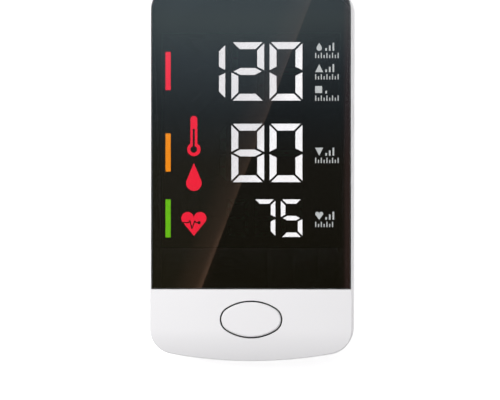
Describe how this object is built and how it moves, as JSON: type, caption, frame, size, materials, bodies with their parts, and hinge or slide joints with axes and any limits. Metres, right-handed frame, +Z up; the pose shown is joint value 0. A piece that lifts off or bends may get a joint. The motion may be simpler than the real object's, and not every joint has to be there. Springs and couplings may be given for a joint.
{
  "type": "blood pressure monitor",
  "caption": "Handheld-sized tabletop blood pressure monitor: wedge-shaped white case, full-width black display with lit figures, oval start button, cuff air socket at the side.",
  "frame": {"origin": "middle of the overall box, on the table surface under the rubber feet", "axes": "+Z up, +Y away from the user (up the display), +X to the user's right"},
  "size_m": [0.076, 0.1466, 0.041],
  "materials": {
    "white_shell": "satin white moulded ABS",
    "smoked_lens": "polished smoked acrylic",
    "black_tape": "black foam tape",
    "reflector_black": "matte black face, white cells",
    "diffuser_film": "printed film",
    "figure_white": "lit diffuser",
    "mark_red": "lit diffuser",
    "mark_orange": "lit diffuser",
    "mark_green": "lit diffuser",
    "lamp_yellow": "light chip",
    "board_green": "solder mask",
    "chip_black": "moulded chip",
    "zinc_steel": "zinc plated",
    "buzzer_black": "moulded",
    "port_black": "moulded",
    "port_steel": "drawn shell",
    "sensor_grey": "moulded",
    "silicone_grey": "silicone",
    "key_white": "satin white moulded ABS",
    "cell_blue": "plain sleeve, steel ends",
    "contact_nickel": "nickel plated spring strip",
    "manifold_white": "moulded nylon",
    "socket_grey": "moulded",
    "nut_grey": "moulded nylon",
    "hose_clear": "clear silicone",
    "motor_steel": "drawn can",
    "pump_black": "moulded",
    "diaphragm_rubber": "rubber",
    "rotor_steel": "ground",
    "seat_white": "moulded",
    "coil_copper": "taped winding",
    "foot_rubber": "rubber"
  },
  "bodies": {
    "console": {"front_case": "white_shell", "display_lens": "smoked_lens", "lens_tape": "black_tape", "display_reflector": "reflector_black", "display_film": "diffuser_film", "lit_digits": "figure_white", "red_icons": "mark_red", "orange_bar": "mark_orange", "green_bar": "mark_green", "led_chips": "lamp_yellow", "main_board": "board_green", "board_chips": "chip_black", "board_screws": "zinc_steel", "buzzer": "buzzer_black", "strip_connector": "port_black", "power_socket": "port_steel", "pressure_sensor": "sensor_grey", "button_pad": "silicone_grey", "rear_case": "white_shell", "battery_cells": "cell_blue", "contacts_far": "contact_nickel", "contacts_near": "contact_nickel", "air_manifold": "manifold_white", "cuff_socket": "socket_grey", "socket_nut": "nut_grey", "hose_socket": "hose_clear", "hose_pump": "hose_clear", "hose_sensor": "hose_clear", "hose_valve": "hose_clear", "pump_motor": "motor_steel", "pump_housing": "pump_black", "pump_diaphragm": "diaphragm_rubber", "pump_head": "pump_black", "valve_seat": "seat_white", "valve_yoke": "zinc_steel", "valve_coil": "coil_copper", "case_screws": "zinc_steel", "rubber_feet": "foot_rubber"},
    "start_key": {"start_button": "key_white"},
    "door": {"battery_door": "white_shell"},
    "rotor": {"pump_rotor": "rotor_steel"},
    "plunger": {"valve_plunger": "rotor_steel"}
  },
  "joints": [
    {"name": "start_press", "type": "slide", "parent": "console", "child": "start_key", "axis": [0, 0.1045, -0.9945], "range_m": [0, 0.0009], "stiffness_N_per_m": 1200, "springref_m": -0.0005, "deforming": ["button_pad"]},
    {"name": "door_slide", "type": "slide", "parent": "console", "child": "door", "axis": [0, -1, 0], "range_m": [0, 0.06]},
    {"name": "rotor_spin", "type": "hinge", "parent": "console", "child": "rotor", "pos_m": [0.01, 0.04595, 0.0147], "axis": [1, 0, 0], "continuous": true},
    {"name": "plunger_slide", "type": "slide", "parent": "console", "child": "plunger", "axis": [-1, 0, 0], "range_m": [0, 0.0006], "stiffness_N_per_m": 200, "springref_m": -0.001}
  ]
}
